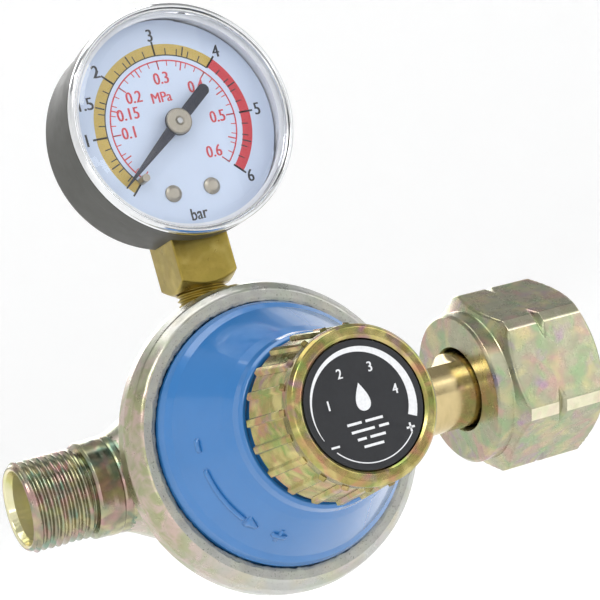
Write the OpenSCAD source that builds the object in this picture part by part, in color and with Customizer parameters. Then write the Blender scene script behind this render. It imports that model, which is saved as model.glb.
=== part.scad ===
// Adjustable gas regulator with a pressure gauge and a swivelling inlet nut.
// Millimetres. +Z is up, the knob faces -Y, gas comes in at +X and leaves at -X.
// The origin is the centre of the inlet nut's open end, on the pipe axis.

/* [Body] */
// outer radius of the rolled body rim
rim_r = 27.5; // [27:0.1:29]
// distance of the rim's front edge from the pipe axis
rim_front = 29.2; // [29:0.1:30]
// length of the outlet thread
outlet_thread_len = 13.9; // [10:0.1:15]
// distance from the knob axis to the outlet's end face
outlet_end = 40.3; // [39:0.1:46]
// outside radius of the outlet thread
outlet_r = 8.331; // [8:0.001:9]
// radius of the outlet's wide bore
outlet_bore_r = 6.8; // [5:0.1:7]

/* [Bonnet and knob] */
// outer radius of the knob's back edge
knob_r = 14.66; // [14:0.02:15]
// how far the knob's front edge stands from the pipe axis
knob_front = 62.55; // [62:0.05:64]
// number of grip ribs round the knob
knob_ribs = 20; // [12:1:24]
// radius of the label disc
label_r = 10.5; // [8:0.1:11]
// thread radius of the adjusting spindle
spindle_r = 3.95; // [3:0.05:4]

/* [Inlet] */
// distance from the knob axis to the nut's open end
nut_end = 76; // [76:0.5:80]
// nut size across the flats
nut_flats = 32; // [29:0.5:32]
// wall radius inside the nut's thread
nut_bore_r = 9.75; // [9.7:0.05:10.5]
// radius of the inlet nipple's neck
nipple_r = 7.5; // [6.8:0.1:7.7]

/* [Gauge] */
// height of the gauge's centre over the pipe axis
gauge_z = 58.4; // [58:0.1:62]
// outer radius of the gauge bezel
bezel_r = 21.2; // [21:0.1:23]
// outer radius of the gauge case
case_r = 20.55; // [20.4:0.05:20.7]
// side of the square brass socket
socket_side = 11; // [10:0.5:12]
// rest angle of the pointer, clockwise from straight down
pointer_rest = 52.5; // [50:0.5:56]

/* [View] */
// which piece to draw

/* [Hidden] */
$fn = 96;
eps = 0.01;
rim_back = rim_front - 5.7;
gauge_y = 12;
gauge_mid = 16.3;
sector_drop = 9.4;
tooth_pitch = 360 / 81;

// Local +Z points out of the knob, so a height is a distance in front of the pipe axis.
module knob_axis() { translate([-nut_end, 0, 0]) rotate([90, 0, 0]) children(); }

// Local +Z runs along the pipe towards the nut.
module pipe_axis() { translate([-nut_end, 0, 0]) rotate([0, 90, 0]) children(); }

// As knob_axis, with the gauge's centre as its middle.
module gauge_axis() { translate([-nut_end, 0, gauge_z]) rotate([90, 0, 0]) children(); }

// A ring or disc between two heights.
module ring(z0, z1, r_out, r_in = 0) {
  difference() {
    translate([0, 0, z0]) cylinder(h = z1 - z0, r = r_out);
    if (r_in > 0) translate([0, 0, z0 - 1]) cylinder(h = z1 - z0 + 2, r = r_in);
  }
}

// ---- body ----

module body_casting() {
  color([0.72, 0.72, 0.70]) difference() {
    union() {
      knob_axis() rotate_extrude() polygon([[0, -9], [9.4, -9], [10.6, -7.8], [11.4, -4], [14.3, 1],
        [17.6, 6], [21.2, 12], [24.8, 18.2], [rim_r - 0.9, rim_back - 2.9], [rim_r - 0.9, rim_back - 2],
        [rim_r, rim_back - 1.3], [rim_r, rim_back + 1.6], [rim_r - 0.5, rim_back + 3.2],
        [rim_r - 1.4, rim_back + 4.7], [24.4, rim_front], [23.2, rim_front], [0, rim_front]]);
      // outlet spigot and its thread
      pipe_axis() rotate_extrude() polygon([[0, -outlet_end], [outlet_r - 0.4, -outlet_end],
        [outlet_r, -outlet_end + 0.45], [outlet_r, -outlet_end + outlet_thread_len],
        [7.5, -outlet_end + outlet_thread_len + 0.6], [7.5, -25], [8.9, -24.6], [8.9, -22],
        [10.2, -19.5], [13, -15], [13, -6], [9.5, 0], [0, 0]]);
      // inlet boss
      pipe_axis() rotate_extrude() polygon([[0, 0], [9.5, 0], [13, 6], [13, 14], [11, 18], [10.2, 22],
        [10.2, 33], [9.7, 33.5], [0, 33.5]]);
      // boss for the gauge stem
      translate([-nut_end, -gauge_y, 14]) cylinder(h = 12.2, r1 = 9, r2 = 6.6);
      // round pad on the back
      knob_axis() ring(-11, -8.9, 6.5);
    }
    // chamber, diaphragm ledge and the seat for the bonnet under the rolled lip
    knob_axis() rotate_extrude() polygon([[0, -5.5], [8.5, -5.5], [8.5, 2], [13, 7], [18, 14.5],
      [19.8, 17.5], [19.8, 21], [24.7, 21], [24.7, 27.6], [23.2, 27.6], [23.2, rim_front + 1],
      [0, rim_front + 1]]);
    pipe_axis() translate([0, 0, -outlet_end]) rotate_extrude() polygon([[0, -1],
      [outlet_bore_r, -1], [outlet_bore_r, 9.5], [4, 13], [4, 33], [0, 33]]);
    pipe_axis() translate([0, 0, 6]) cylinder(h = 20, r = 5.05);
    pipe_axis() translate([0, 0, 22]) cylinder(h = 13, r = 6.6);
    translate([-nut_end, -gauge_y, 19.5]) cylinder(h = 8, r = 4.9);
    translate([-nut_end, -gauge_y, 8]) cylinder(h = 14, r = 2);
  }
  // lugs that carry the lever's pin
  color([0.72, 0.72, 0.70]) for (side = [-1, 1]) lever_lug(side);
}

module lever_lug(side) {
  difference() {
    translate([-nut_end - 9.4, -9, side * 5.4 - 1.3]) cube([4.8, 14.8, 2.6]);
    translate([-nut_end - 7, -7, side * 5.4 - 2]) cylinder(h = 4, r = 1.02);
  }
}

// ---- bonnet, spring and knob ----

module bonnet() {
  color([0.22, 0.47, 0.78]) knob_axis() difference() {
    rotate_extrude() polygon([[0, 22.1], [24.3, 22.1], [24.3, 27.4], [23.1, 27.4], [23.1, 30.2],
      [22.6, 31.4], [21.6, 32.2], [16.6, 42.2], [15.3, 44.4], [14.95, 45.4], [14.6, 46.1], [13.9, 46.2],
      [13.5, 45.4], [0, 45.4]]);
    rotate_extrude() polygon([[0, 21], [21.4, 21], [21.4, 29.5], [20, 31.6], [14.4, 42.2], [0, 42.2]]);
    translate([0, 0, 40]) cylinder(h = 8, r = spindle_r + 0.06);
  }
}

module spring_button() {
  color([0.75, 0.76, 0.78]) knob_axis() difference() {
    union() { ring(37, 39, 10.6); ring(35, 37.5, 7.6); }
    translate([0, 0, 37.9]) cylinder(h = 2, r = 3.2);
  }
}

// A wire coil between two heights, built from its own radii.
module coil(radius, wire, z0, z1, turns) {
  steps = 20; sides = 8; count = round(steps * turns);
  rise = z1 - z0 - 2 * wire;
  pts = [for (i = [0:count]) for (k = [0:sides - 1])
    let (a = 360 * i / steps, b = 360 * k / sides, r = radius + wire * cos(b),
      t = min(1, max(0, (i - steps * 0.75) / (count - 1.5 * steps))))
    [r * cos(a), r * sin(a), z0 + wire + rise * t + wire * sin(b)
      + (i < steps * 0.75 ? -0 : 0)]];
  walls = [for (i = [0:count - 1]) for (k = [0:sides - 1])
    [i * sides + k, i * sides + (k + 1) % sides, (i + 1) * sides + (k + 1) % sides,
      (i + 1) * sides + k]];
  ends = [[for (k = [sides - 1:-1:0]) k], [for (k = [0:sides - 1]) count * sides + k]];
  polyhedron(points = pts, faces = concat(walls, ends), convexity = 12);
}

module main_spring() { color([0.55, 0.56, 0.58]) knob_axis() coil(9.2, 1, 23.35, 36.95, 3.4); }

module diaphragm_plate() {
  color([0.78, 0.76, 0.66]) knob_axis() difference() {
    union() { ring(22.1, 23.3, 13.2); ring(23, 24.6, 7.4); }
    translate([0, 0, 20]) cylinder(h = 6, r = 2.05);
  }
}

module diaphragm() {
  color([0.12, 0.12, 0.12]) knob_axis() rotate_extrude() polygon([[2.05, 21], [14, 21], [15.2, 19.4],
    [17.2, 19.4], [18.6, 21.03], [24.5, 21.03], [24.5, 22.07], [18.2, 22.07], [16.8, 20.4],
    [15.6, 20.4], [14.4, 22.07], [2.05, 22.07]]);
}

module support_washer() { color([0.8, 0.78, 0.6]) knob_axis() ring(19.9, 20.97, 11, 2.05); }

module diaphragm_stem() {
  color([0.78, 0.64, 0.34]) knob_axis() difference() {
    union() { ring(5.2, 26.6, 2); ring(18.3, 19.87, 3.6); }
    translate([-4, -1.2, 6.15]) cube([8, 2.4, 1.7]);
  }
}

module stem_nut() {
  color([0.8, 0.8, 0.78]) knob_axis() difference() {
    translate([0, 0, 24.65]) cylinder(h = 1.9, r = 3.4, $fn = 6);
    translate([0, 0, 24]) cylinder(h = 4, r = 2.03);
  }
}

module adjusting_spindle() {
  color([0.75, 0.70, 0.50]) knob_axis() difference() {
    union() { ring(39.3, 58.2, spindle_r); ring(37.95, 39.4, 3.1); }
    translate([-8, 0, 54]) rotate([0, 90, 0]) cylinder(h = 16, r = 0.82);
  }
}

module knob() {
  grip_back = 47.9;
  color([0.74, 0.68, 0.40]) knob_axis() difference() {
    union() {
      rotate_extrude() polygon([[0, grip_back], [knob_r - 0.7, grip_back],
        [13.2, knob_front - 2.6], [13.1, knob_front - 0.6], [12.6, knob_front], [0, knob_front]]);
      for (i = [0:knob_ribs - 1]) rotate([0, 0, i * 360 / knob_ribs]) rotate([90, 0, 90])
        linear_extrude(height = 1.1, center = true) rib_side(grip_back);
    }
    translate([0, 0, grip_back - 1]) cylinder(h = 11.7, r = 12.2);
    translate([0, 0, knob_front - 1.25]) cylinder(h = 3, r = label_r + 0.1);
  }
  color([0.74, 0.68, 0.40]) knob_axis() difference() {
    ring(49.4, 58.8, 5.6);
    translate([0, 0, 48]) cylinder(h = 10.25, r = spindle_r + 0.02);
    translate([-8, 0, 54]) rotate([0, 90, 0]) cylinder(h = 16, r = 0.82);
  }
}

// Side view of one grip rib, from the knob's axis outwards.
module rib_side(grip_back) {
  polygon([[12.4, grip_back + 0.4], [knob_r, grip_back + 0.4], [knob_r, grip_back + 1.2],
    [13.8, knob_front - 3], [12.6, knob_front - 2]]);
}

module knob_pin() {
  color([0.6, 0.6, 0.6]) knob_axis() translate([-5.5, 0, 54]) rotate([0, 90, 0])
    cylinder(h = 11, r = 0.8);
}

module label_disc() { color([0.06, 0.07, 0.08]) knob_axis() ring(knob_front - 1.23, knob_front - 0.45, label_r); }

// ---- valve ----

module valve_lever() {
  color([0.78, 0.66, 0.36]) knob_axis() difference() {
    union() {
      translate([-7, -3.9, 7]) rotate([-90, 0, 0]) cylinder(h = 7.8, r = 1.9);
      translate([-7.8, -2.4, -2.2]) cube([1.6, 4.8, 8.6]);
      translate([-7, -1.05, 6.6]) cube([7, 2.1, 0.8]);
      translate([0, -1.05, 7]) rotate([-90, 0, 0]) cylinder(h = 2.1, r = 0.78);
    }
    translate([-7, -5, 7]) rotate([-90, 0, 0]) cylinder(h = 10, r = 1.05);
  }
}

module lever_pin() {
  color([0.7, 0.7, 0.7]) translate([-nut_end - 7, -7, -6.7]) cylinder(h = 13.4, r = 1);
}

module seat_pad() { color([0.1, 0.1, 0.1]) pipe_axis() ring(-6.18, -4.75, 2.2); }

module inlet_nozzle() {
  color([0.80, 0.66, 0.34]) pipe_axis() rotate_extrude() polygon([[1.1, -4.65], [1.9, -4.65],
    [3.5, -2.4], [3.5, 9], [5, 9.6], [5, 21.6], [2.6, 21.6], [2.6, 14], [1.1, 10]]);
}

// ---- inlet ----

module inlet_nipple() {
  color([0.84, 0.74, 0.50]) difference() {
    pipe_axis() rotate_extrude() polygon([[3, 22], [6.1, 22], [6.55, 22.5], [6.55, 33.6],
      [6.55, 34.15], [nipple_r - 0.3, 34.15], [nipple_r, 34.5], [nipple_r, 57], [9.4, 57],
      [9.4, 60.3], [8.6, 63], [4, 63], [4, 48], [3, 46.5]]);
    // milled flat for a spanner
    translate([-nut_end + 36, -10, 5.3]) cube([14.2, 20, 5]);
  }
}

module nipple_gasket() { color([0.72, 0.42, 0.26]) pipe_axis() ring(33.52, 34.13, 9.2, 6.7); }

module inlet_filter() {
  color([0.7, 0.56, 0.3]) pipe_axis() difference() {
    ring(48.4, 62.4, 3.92);
    translate([0, 0, 50]) cylinder(h = 14, r = 2.4);
  }
}

module inlet_seal() { color([0.08, 0.08, 0.08]) pipe_axis() ring(63.02, 64.6, 8.2, 4.2); }

module inlet_nut() {
  collar_face = 52.1;
  hex_start = 56.4;
  corner_r = 17.85;
  mid = (hex_start + nut_end) / 2 - 1.5;
  color([0.72, 0.70, 0.60]) pipe_axis() difference() {
    union() {
      intersection() {
        translate([0, 0, hex_start - 1.2]) cylinder(h = nut_end - hex_start + 1.2,
          r = nut_flats / 2 / cos(30), $fn = 6);
        rotate_extrude() polygon([[0, hex_start - 2], [14.7, hex_start - 1.2],
          [corner_r, hex_start + 1], [corner_r, mid - 1.2], [16.75, mid], [corner_r, mid + 1.2],
          [corner_r, nut_end - 1.9], [15.2, nut_end], [0, nut_end]]);
      }
      rotate_extrude() polygon([[0, collar_face], [14.4, collar_face], [14.86, collar_face + 0.5],
        [14.86, hex_start], [0, hex_start]]);
    }
    rotate_extrude() polygon([[0, collar_face - 1], [8.6, collar_face - 1], [8, collar_face + 0.5],
      [8, 56.85], [nut_bore_r + 0.35, 56.85], [nut_bore_r + 0.35, 64.35], [nut_bore_r, 64.7],
      [nut_bore_r, nut_end - 0.45], [nut_bore_r + 0.45, nut_end], [nut_bore_r + 0.45, nut_end + 1],
      [0, nut_end + 1]]);
  }
}

// ---- gauge ----

module gauge_case() {
  color([0.26, 0.27, 0.24]) difference() {
    gauge_axis() rotate_extrude() polygon([[0, 6.7], [18.6, 6.7], [20, 7.2], [case_r, 8.6],
      [case_r, 23.1], [case_r - 0.75, 23.1], [case_r - 0.75, 9], [19.3, 7.9], [18.4, 7.4], [0, 7.4]]);
    gauge_axis() translate([0, 9, 5]) cylinder(h = 4, r = 4);
    translate([-nut_end, -gauge_y, gauge_z - 30]) cube([8.6, 5.8, 30], center = true);
    translate([-nut_end - 4.3, -gauge_y - 2.9, gauge_z - 22]) cube([8.6, 5.8, 6]);
  }
}

module blowout_plug() {
  color([0.08, 0.08, 0.08]) gauge_axis() translate([0, 9, 0]) { ring(6.3, 7.38, 3.95); ring(7.42 - 0.1, 7.9, 3.4); }
}

module gauge_bezel() {
  color([0.80, 0.81, 0.83]) gauge_axis() rotate_extrude() polygon([[case_r + 0.02, 19.6],
    [bezel_r - 0.15, 19.6], [bezel_r, 20], [bezel_r, 25.5], [bezel_r - 0.5, 26], [19.2, 26],
    [18.9, 25.7], [18.9, 25.25], [case_r + 0.02, 25.25]]);
}

module gauge_window() { color([0.8, 0.9, 0.95, 0.3]) gauge_axis() ring(23.75, 25.2, case_r - 0.05); }

module window_gasket() { color([0.1, 0.1, 0.1]) gauge_axis() ring(23.15, 23.7, case_r - 0.05, 18.9); }

module dial_plate() {
  color([0.78, 0.83, 0.92]) gauge_axis() difference() {
    ring(19.6, 20.1, 19.5);
    translate([0, 0, 19]) cylinder(h = 2, r = 1.5);
    for (x = [-3.8, 3.8]) translate([x, -12.2, 19]) cylinder(h = 2, r = 0.82);
    turned(pointer_rest - 6.9, 12.6) translate([0, 0, 19]) cylinder(h = 2, r = 0.72);
  }
}

// Puts a piece at an angle clockwise from straight down, at a distance from the centre.
module turned(angle, distance) {
  rotate([0, 0, -angle]) translate([0, -distance, 0]) children();
}

module dial_rivets() {
  color([0.66, 0.62, 0.55]) gauge_axis() for (x = [-3.8, 3.8]) translate([x, -12.2, 0])
    rotate_extrude() polygon([[0, 16.45], [0.8, 16.45], [0.8, 20.12], [1.5, 20.12], [1.5, 20.4],
      [1.1, 20.8], [0, 20.95]]);
}

module stop_pin() {
  color([0.7, 0.66, 0.55]) gauge_axis() turned(pointer_rest - 6.9, 12.6) ring(19.65, 22.7, 0.7);
}

module pointer() {
  color([0.08, 0.09, 0.13]) gauge_axis() rotate([0, 0, -pointer_rest]) difference() {
    translate([0, 0, 22]) linear_extrude(height = 0.4) union() {
      circle(r = 2.5);
      polygon([[-1.05, 0], [1.05, 0], [0.12, -16.2], [-0.12, -16.2]]);
      polygon([[-1.1, 0], [1.1, 0], [1.1, 8], [-1.1, 8]]);
      translate([0, 8]) circle(r = 1.2);
    }
    translate([0, 0, 21]) cylinder(h = 3, r = 0.55);
  }
}

module pointer_cap() { color([0.74, 0.70, 0.62]) gauge_axis() rotate_extrude() polygon([[0.55, 22.42],
  [2.4, 22.42], [2.4, 22.9], [2.1, 23.1], [0.55, 23.1]]); }

module pointer_shaft() {
  color([0.8, 0.7, 0.4]) gauge_axis() {
    ring(7.6, 23.2, 0.5);
    // pinion, with a gap facing straight down at rest
    translate([0, 0, 11.6]) linear_extrude(height = 1.6) union() {
      circle(r = 0.95);
      for (i = [0:11]) rotate([0, 0, i * 30 + 15]) tooth(0.8, 1.4);
    }
  }
}

module tooth(r_root, r_tip) {
  polygon([[r_root, -0.16], [r_tip, -0.06], [r_tip, 0.06], [r_root, 0.16]]);
}

module sector_gear() {
  root_half = 1.18; tip_half = 0.41; // degrees to each side of a tooth's middle
  teeth = [for (i = [-10:1], k = [0:3])
    let (a = 90 + i * tooth_pitch + [-root_half, -tip_half, tip_half, root_half][k],
      r = (k == 0 || k == 3) ? 7.75 : 8.3) [r * cos(a), r * sin(a)]];
  color([0.82, 0.72, 0.42]) gauge_axis() translate([0, -sector_drop, 0]) {
    difference() {
      translate([0, 0, 12]) linear_extrude(height = 0.8) polygon(concat([[1.6, -0.5]], teeth,
        [[-1.6, 0.2], [-0.6, -1.1], [-0.74, -3.95], [0.62, -3.95], [0.6, -1.1]]));
      translate([1.9, 4.7, 11]) cylinder(h = 3, r = 1.3);
    }
    ring(8.6, 16.2, 0.6);
    // pin on the tail, for the link
    rotate([0, 0, -91]) translate([3.5, 0, 10.3]) cylinder(h = 2, r = 0.35);
  }
}

// Carries the link from the sector's tail to the free end of the bourdon tube.
module tip_link() {
  slope = 19; pin_x = -0.06; pin_y = -sector_drop - 3.5;
  color([0.76, 0.66, 0.38]) gauge_axis() {
    difference() {
      translate([pin_x, pin_y, 10.6]) rotate([0, 0, slope]) linear_extrude(height = 0.6) union() {
        translate([0, 0.1]) circle(r = 1.15);
        translate([0.6, -0.45]) square([10.4, 1.1]);
        translate([11, 0.1]) circle(r = 1.1);
      }
      translate([pin_x, pin_y, 10]) rotate([0, 0, slope]) translate([0, 0.1]) cylinder(h = 2, r = 0.72);
    }
    translate([pin_x, pin_y, 0]) rotate([0, 0, slope]) translate([11, 0.1, 0]) ring(11.1, 14, 0.7);
  }
}

module bourdon_tube() {
  color([0.80, 0.62, 0.30]) gauge_axis() {
    rotate([0, 0, -32]) rotate_extrude(angle = 294) translate([13.5, 9.7]) square([1.3, 4.6]);
  }
}

module plate_shape() { translate([-4.5, -12.3]) square([9, 15.3]); }

module pivot_holes(r_top, r_low) {
  circle(r = r_top);
  translate([0, -sector_drop]) circle(r = r_low);
  for (p = [[-3.6, -11.4], [-3.6, 2], [3.6, 2]]) translate(p) circle(r = 0.75);
}

module front_plate() {
  color([0.82, 0.72, 0.42]) gauge_axis() translate([0, 0, 15.5]) linear_extrude(height = 0.8)
    difference() { plate_shape(); pivot_holes(0.55, 0.65); }
}

module back_plate() {
  color([0.82, 0.72, 0.42]) gauge_axis() translate([0, 0, 8.35]) linear_extrude(height = 0.8)
    difference() {
      union() { plate_shape(); translate([-1.2, -17.6]) square([5, 6]); }
      pivot_holes(0.55, 0.65);
      for (y = [-14.9, -16.7]) translate([1.3, y]) circle(r = 0.5);
    }
}

module plate_pillars() {
  color([0.80, 0.70, 0.40]) gauge_axis() for (p = [[-3.6, -11.4], [-3.6, 2], [3.6, 2]]) translate([p[0], p[1], 0]) {
    ring(9.17, 15.48, 1.05);
    ring(8.2, 16.42, 0.72);
  }
}

module movement_screws() {
  color([0.7, 0.7, 0.7]) gauge_axis() for (y = [-14.9, -16.7]) translate([1.3, y, 0]) {
    ring(7.7, 8.33, 0.85);
    ring(8.2, 12.4, 0.48);
  }
}

module hairspring() {
  turns = 3.4; steps = 24; last = round(turns * steps); growth = 0.6;
  inner = [for (i = [0:last]) let (a = 360 * i / steps, r = 0.6 + growth * i / steps)
    [r * cos(a), r * sin(a)]];
  outer = [for (i = [last:-1:0]) let (a = 360 * i / steps, r = 0.75 + growth * i / steps)
    [r * cos(a), r * sin(a)]];
  color([0.7, 0.72, 0.75]) gauge_axis() translate([0, 0, 14]) linear_extrude(height = 0.3)
    polygon(concat(inner, outer));
}

module gauge_socket() {
  half = socket_side / 2;
  bottom = 29.4;
  top = gauge_z - case_r + 1.2;
  color([0.72, 0.60, 0.26]) difference() {
    union() {
      // square block with its lower corners turned down
      intersection() {
        translate([-nut_end - half, -gauge_y - half, bottom]) cube([socket_side, socket_side, top - bottom]);
        translate([-nut_end, -gauge_y, bottom]) rotate_extrude() polygon([[0, 0], [half, 0],
          [half * 1.45, 1.6], [half * 1.45, top], [0, top]]);
      }
      // stem thread into the body
      translate([-nut_end, -gauge_y, 20.2]) cylinder(h = 9.4, r = 4.864);
      // tongue that carries the tube and the movement inside the case
      translate([-nut_end - 4.2, -gauge_y - 2.8, top - 1]) cube([8.4, 5.6, gauge_z - 14.2 - top + 1]);
    }
    // the case sits in a saddle on the block
    gauge_axis() difference() {
      translate([0, 0, 2]) cylinder(h = 18, r = case_r + 0.03);
      translate([-4.2, -30, 9.2]) cube([8.4, 30, 5.6]);
    }
    gauge_axis() rotate([0, 0, -32]) rotate_extrude(angle = 295) translate([13.48, 9.6])
      square([1.34, 4.8]);
    for (y = [-14.9, -16.7]) gauge_axis() translate([1.3, y, 7]) cylinder(h = 5.5, r = 0.5);
    translate([-nut_end, -gauge_y, 19]) cylinder(h = 15, r = 1.3);
  }
}

// ---- what to draw ----

body_casting();
bonnet();
knob();
knob_pin();
label_disc();
adjusting_spindle();
spring_button();
main_spring();
diaphragm_plate();
diaphragm();
support_washer();
diaphragm_stem();
stem_nut();
valve_lever();
lever_pin();
seat_pad();
inlet_nozzle();
inlet_nipple();
nipple_gasket();
inlet_filter();
inlet_seal();
inlet_nut();
gauge_case();
gauge_bezel();
gauge_window();
window_gasket();
dial_plate();
dial_rivets();
stop_pin();
pointer();
pointer_cap();
pointer_shaft();
front_plate();
back_plate();
plate_pillars();
movement_screws();
sector_gear();
hairspring();
bourdon_tube();
tip_link();
gauge_socket();
blowout_plug();
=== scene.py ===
import bpy, bmesh, math
from mathutils import Matrix, Vector, noise


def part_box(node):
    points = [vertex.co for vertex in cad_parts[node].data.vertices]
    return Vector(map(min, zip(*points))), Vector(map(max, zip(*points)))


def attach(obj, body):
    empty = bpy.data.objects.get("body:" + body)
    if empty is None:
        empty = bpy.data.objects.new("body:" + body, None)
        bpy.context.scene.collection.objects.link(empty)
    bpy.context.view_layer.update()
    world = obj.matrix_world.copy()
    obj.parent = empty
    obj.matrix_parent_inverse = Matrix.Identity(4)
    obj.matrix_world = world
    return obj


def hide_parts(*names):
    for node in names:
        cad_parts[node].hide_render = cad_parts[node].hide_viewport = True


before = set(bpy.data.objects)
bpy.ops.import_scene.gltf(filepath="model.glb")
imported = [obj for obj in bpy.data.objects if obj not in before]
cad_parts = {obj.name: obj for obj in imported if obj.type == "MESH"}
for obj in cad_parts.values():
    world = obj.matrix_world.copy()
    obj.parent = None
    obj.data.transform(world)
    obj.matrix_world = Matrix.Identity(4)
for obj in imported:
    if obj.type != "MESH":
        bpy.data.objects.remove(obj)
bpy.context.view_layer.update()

mm = 0.001
tau = 2 * math.pi
bonnetBox, bezelBox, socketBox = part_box("bonnet"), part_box("gauge_bezel"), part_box("gauge_socket")
knobX = (bonnetBox[0].x + bonnetBox[1].x) / 2      # the knob axis crosses the pipe axis here
gaugeZ = (bezelBox[0].z + bezelBox[1].z) / 2
socketY = (socketBox[0].y + socketBox[1].y) / 2


# shader helpers

class Val:
    def __init__(self, tree, socket):
        self.tree, self.socket = tree, socket

    def maths(self, op, other):
        node = self.tree.nodes.new("ShaderNodeMath")
        node.operation = op
        for slot, item in zip(node.inputs, (self, other)):
            if isinstance(item, Val):
                self.tree.links.new(item.socket, slot)
            else:
                slot.default_value = item
        return Val(self.tree, node.outputs[0])

    def __mul__(self, other):
        return self.maths("MULTIPLY", other)

    __rmul__ = __mul__


class Finish:
    def __init__(self, name):
        self.mat = bpy.data.materials.new(name)
        self.mat.use_nodes = True
        self.tree = self.mat.node_tree
        self.shader = self.tree.nodes["Principled BSDF"]
        self.coords = self.node("ShaderNodeTexCoord").outputs["Object"]

    # a socket is named by its label, or by its place in the list as i0, i1 and so on
    def node(self, kind, settings=None, **sockets):
        made = self.tree.nodes.new(kind)
        for key, value in (settings or {}).items():
            setattr(made, key, value)
        for key, value in sockets.items():
            numbered = key[0] == "i" and key[1:].isdigit()
            self.feed(made.inputs[int(key[1:]) if numbered else key.replace("_", " ")], value)
        return made

    def feed(self, slot, value):
        if isinstance(value, Val):
            value = value.socket
        if isinstance(value, bpy.types.NodeSocket):
            self.tree.links.new(value, slot)
        elif isinstance(value, tuple) and len(value) == 3 and slot.type == "RGBA":
            slot.default_value = (*value, 1)
        else:
            slot.default_value = value

    def clouds(self, size, detail=3, rough=0.5, stretch=(1, 1, 1), shift=(0, 0, 0), warp=0):
        place = self.node("ShaderNodeMapping", None, Vector=self.coords, Scale=stretch, Location=shift)
        cloud = self.node("ShaderNodeTexNoise", None, Vector=place.outputs[0], Scale=1 / (size * mm), Detail=detail,
                          Roughness=rough, Distortion=warp)
        return Val(self.tree, cloud.outputs["Fac"])

    def level(self, value, low, high, start=0.0, end=1.0):
        node = self.node("ShaderNodeMapRange", {"clamp": True}, i0=value, i1=low, i2=high, i3=start, i4=end)
        return Val(self.tree, node.outputs[0])

    def mix(self, factor, a, b):
        node = self.node("ShaderNodeMix", {"data_type": "RGBA"}, i0=factor, i6=a, i7=b)
        return node.outputs[2]

    def bump(self, height, strength, distance):
        return self.node("ShaderNodeBump", None, Strength=strength, Distance=distance * mm,
                         Height=height).outputs["Normal"]

    def axis(self, which):
        return Val(self.tree, self.node("ShaderNodeSeparateXYZ", None, Vector=self.coords).outputs[which])

    def done(self, **sockets):
        for key, value in sockets.items():
            self.feed(self.shader.inputs[key.replace("_", " ")], value)
        return self.mat


# mesh helpers

# rounds the corners of a path; a point's third value is its corner radius
def soften(path, closed=False):
    pts, out, count = [(Vector(p[:2]), p[2] if len(p) > 2 else 0) for p in path], [], len(path)
    for i, (p, radius) in enumerate(pts):
        if radius <= 0 or (not closed and i in (0, count - 1)):
            out.append(p)
            continue
        before, after = pts[i - 1][0], pts[(i + 1) % count][0]
        a, b = before - p, after - p
        la, lb = a.length, b.length
        turn = a.angle(b)
        reach = min(radius / max(math.tan(turn / 2), 0.05), la * 0.48, lb * 0.48)
        a, b = a / la * reach, b / lb * reach
        steps = 4 if radius < 0.6 else 7
        if reach * 1.2 < la * 0.5:
            out.append(p + a * 1.2)
        for k in range(steps + 1):
            t = k / steps
            out.append(p + a * (1 - t) ** 2 + b * t ** 2)
        if reach * 1.2 < lb * 0.5:
            out.append(p + b * 1.2)
    return [(v.x, v.y) for v in out]


# step is a length in mm, or a function that gives one for the stretch from a to b
def finer(path, step):
    out = []
    for a, b in zip(path, path[1:]):
        n = max(1, math.ceil(math.dist(a, b) / (step(a, b) if callable(step) else step)))
        out += [(a[0] + (b[0] - a[0]) * k / n, a[1] + (b[1] - a[1]) * k / n) for k in range(n)]
    return out + [path[-1]]


def onKnobAxis(r, angle, h):      # h is the distance in front of the pipe axis
    return Vector((knobX + r * math.cos(angle) * mm, -h * mm, r * math.sin(angle) * mm))


def onPipeAxis(r, angle, h):      # h is the distance from the knob axis towards the nut
    return Vector((knobX + h * mm, -r * math.sin(angle) * mm, r * math.cos(angle) * mm))


def onGaugeAxis(r, angle, h):
    return Vector((knobX + r * math.cos(angle) * mm, -h * mm, gaugeZ + r * math.sin(angle) * mm))


def onSocketAxis(r, angle, h):
    return Vector((knobX + r * math.cos(angle) * mm, socketY + r * math.sin(angle) * mm, h * mm))


# turns a path of radius and height round an axis; shape may move each point
def spun(path, place, segments=128, shape=None, closed=False):
    mesh = bmesh.new()
    rows = []
    for r, h in path:
        if r <= 1e-6 and not closed:
            rows.append([mesh.verts.new(place(0, 0, h))])
            continue
        row = []
        for k in range(segments):
            angle = tau * k / segments
            moved = shape(angle, r, h) if shape else (r, h)
            row.append(mesh.verts.new(place(moved[0], angle, moved[1])))
        rows.append(row)
    pairs = list(zip(rows, rows[1:])) + ([(rows[-1], rows[0])] if closed else [])
    for a, b in pairs:
        for k in range(segments):
            n = (k + 1) % segments
            ring = [a[k % len(a)], a[n % len(a)], b[n % len(b)], b[k % len(b)]]
            ring = list(dict.fromkeys(ring))
            if len(ring) > 2:
                mesh.faces.new(ring)
    bmesh.ops.recalc_face_normals(mesh, faces=mesh.faces)
    return mesh


def keep(name, mesh, *materials, smooth=True, pick=None):
    data = bpy.data.meshes.new(name)
    mesh.to_mesh(data)
    mesh.free()
    for m in materials:
        data.materials.append(m)
    data.polygons.foreach_set("use_smooth", [smooth] * len(data.polygons))
    if pick:
        for face in data.polygons:
            face.material_index = pick(face.center)
    made = bpy.data.objects.new(name, data)
    bpy.context.scene.collection.objects.link(made)
    return made


# puts what the modifiers make in the place of the mesh
def baked(thing):
    evaluated = thing.evaluated_get(bpy.context.evaluated_depsgraph_get())
    data = bpy.data.meshes.new_from_object(evaluated)
    thing.modifiers.clear()
    old = thing.data
    thing.data = data
    bpy.data.meshes.remove(old)


def join(meshes):
    total = bmesh.new()
    for part in meshes:
        spare = bpy.data.meshes.new("spare")
        part.to_mesh(spare)
        part.free()
        total.from_mesh(spare)
        bpy.data.meshes.remove(spare)
    return total


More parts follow.
